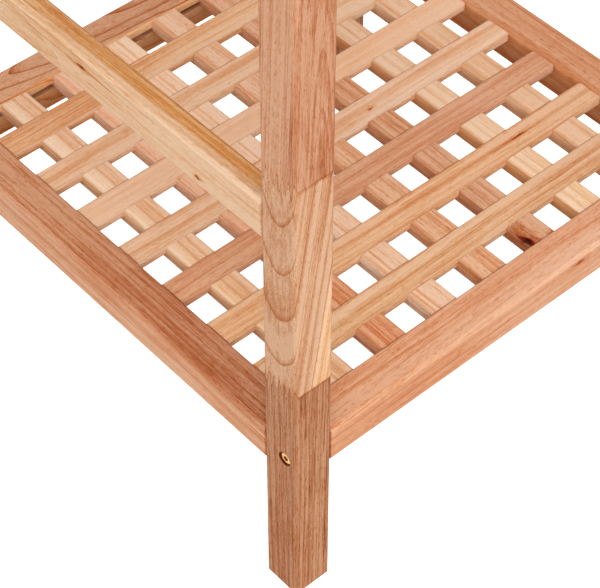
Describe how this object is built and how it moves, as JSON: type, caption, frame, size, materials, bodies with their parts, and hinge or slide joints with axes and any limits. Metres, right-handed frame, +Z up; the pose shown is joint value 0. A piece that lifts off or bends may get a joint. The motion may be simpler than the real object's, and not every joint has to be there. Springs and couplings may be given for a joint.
{
  "type": "luggage rack",
  "caption": "Rigid wooden luggage rack with a slatted lattice top and a lattice shelf near the floor, square finger-jointed posts and bolted rails.",
  "frame": {"origin": "on the floor, under the middle of the rack's footprint", "axes": "+X to the right (the bolted rails run along X), +Y to the back (the glued side rails run along Y), +Z up"},
  "size_m": [0.418, 0.415, 0.555],
  "materials": {
    "walnut_red": "thin matt oil over sanded open grain",
    "walnut_rose": "thin matt oil over sanded open grain",
    "walnut_tan": "thin matt oil over sanded open grain",
    "walnut_pale": "thin matt oil over sanded open grain",
    "walnut_cream": "thin matt oil over sanded open grain",
    "brass": "satin, brass plated",
    "zinc": "bright zinc plated",
    "beech": "thin matt oil over sanded open grain"
  },
  "bodies": {
    "root": {"front_left_post_lower": "walnut_red", "front_left_post_middle": "walnut_tan", "front_left_post_upper": "walnut_rose", "front_right_post_lower": "walnut_red", "front_right_post_middle": "walnut_tan", "front_right_post_upper": "walnut_rose", "back_left_post_lower": "walnut_red", "back_left_post_middle": "walnut_tan", "back_left_post_upper": "walnut_rose", "back_right_post_lower": "walnut_red", "back_right_post_middle": "walnut_tan", "back_right_post_upper": "walnut_rose", "shelf_front_rail": "walnut_rose", "shelf_back_rail": "walnut_rose", "shelf_left_rail": "walnut_red", "shelf_right_rail": "walnut_red", "top_front_rail": "walnut_rose", "top_back_rail": "walnut_rose", "top_left_rail": "walnut_red", "top_right_rail": "walnut_red", "middle_left_rail": "walnut_cream", "middle_right_rail": "walnut_cream", "shelf_bearer_1": "walnut_pale", "shelf_bearer_2": "walnut_rose", "shelf_bearer_3": "walnut_cream", "shelf_bearer_4": "walnut_pale", "shelf_bearer_5": "walnut_red", "shelf_bearer_6": "walnut_cream", "shelf_bearer_7": "walnut_tan", "shelf_cross_slat_1": "walnut_tan", "shelf_cross_slat_2": "walnut_pale", "shelf_cross_slat_3": "walnut_red", "shelf_cross_slat_4": "walnut_rose", "shelf_cross_slat_5": "walnut_tan", "shelf_cross_slat_6": "walnut_cream", "shelf_cross_slat_7": "walnut_tan", "top_bearer_1": "walnut_pale", "top_bearer_2": "walnut_rose", "top_bearer_3": "walnut_cream", "top_bearer_4": "walnut_pale", "top_bearer_5": "walnut_red", "top_bearer_6": "walnut_cream", "top_bearer_7": "walnut_tan", "top_cross_slat_1": "walnut_tan", "top_cross_slat_2": "walnut_pale", "top_cross_slat_3": "walnut_red", "top_cross_slat_4": "walnut_rose", "top_cross_slat_5": "walnut_tan", "top_cross_slat_6": "walnut_cream", "top_cross_slat_7": "walnut_tan", "connector_bolts": "brass", "barrel_nuts": "zinc", "end_dowels": "beech", "side_dowels": "beech"}
  },
  "joints": []
}
